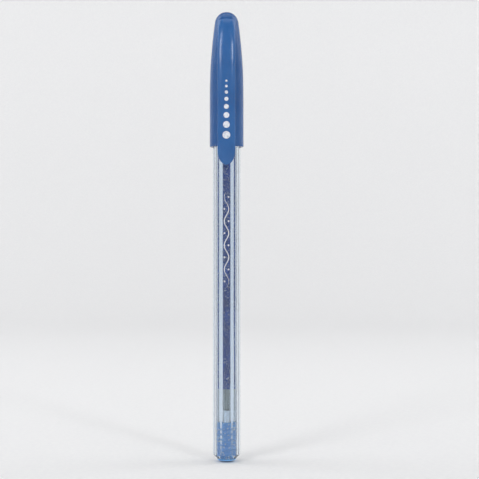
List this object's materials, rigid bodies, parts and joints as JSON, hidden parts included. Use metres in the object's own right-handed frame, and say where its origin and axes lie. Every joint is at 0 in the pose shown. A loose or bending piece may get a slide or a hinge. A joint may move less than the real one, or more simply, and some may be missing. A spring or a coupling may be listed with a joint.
{
  "type": "gel pen",
  "caption": "Capped gel stick pen with a six-sided clear barrel, a glitter-ink refill, a domed cap with a springy pocket clip and a ribbed tail plug.",
  "frame": {"origin": "centre of the flat end of the tail plug, where a pocket or pen pot holds the pen upright", "axes": "+Z along the pen from its tail to the crown of the cap; the clip faces -Y; +X to the right seen from the clip's side"},
  "size_m": [0.0114, 0.0139, 0.1499],
  "materials": {
    "cap_plastic": "injection-moulded polypropylene, glossy",
    "clip_plastic": "injection-moulded polypropylene, glossy",
    "inner_plastic": "moulded polyethylene, satin",
    "elastomer": "moulded thermoplastic elastomer",
    "clear_plastic": "clear tinted polystyrene, polished",
    "plug_plastic": "moulded plastic with glitter flakes",
    "nose_plastic": "injection-moulded polypropylene, glossy",
    "tube_plastic": "extruded polypropylene, translucent",
    "glitter_ink": "gel ink with glitter flakes",
    "grease": "clear silicone follower grease",
    "holder_plastic": "moulded acetal, satin",
    "nickel_silver": "turned nickel silver",
    "carbide": "ground tungsten carbide, polished"
  },
  "bodies": {
    "pen_body": {"barrel": "clear_plastic", "tail_plug": "plug_plastic", "nose_cone": "nose_plastic", "refill_tube": "tube_plastic", "ink_column": "glitter_ink", "tip_holder": "holder_plastic", "tip_shell": "nickel_silver"},
    "ball": {"writing_ball": "carbide"},
    "follower": {"follower_grease": "grease"},
    "cap": {"cap_shell": "cap_plastic", "inner_cap": "inner_plastic", "tip_seal": "elastomer"},
    "clip": {"cap_clip": "clip_plastic"}
  },
  "joints": [
    {"name": "cap_pull", "type": "slide", "parent": "pen_body", "child": "cap", "axis": [0, 0, 1], "range_m": [0, 0.04]},
    {"name": "clip_flex", "type": "hinge", "parent": "cap", "child": "clip", "pos_m": [0, -0.0061, 0.1382], "axis": [-1, 0, 0], "range_deg": [0, 6], "stiffness_Nm_per_rad": 1},
    {"name": "ball_roll", "type": "hinge", "parent": "pen_body", "child": "ball", "pos_m": [0, 0, 0.14247], "axis": [1, 0, 0], "continuous": true},
    {"name": "ink_use", "type": "slide", "parent": "pen_body", "child": "follower", "axis": [0, 0, 1], "range_m": [0, 0.094], "deforming": ["ink_column"]}
  ]
}
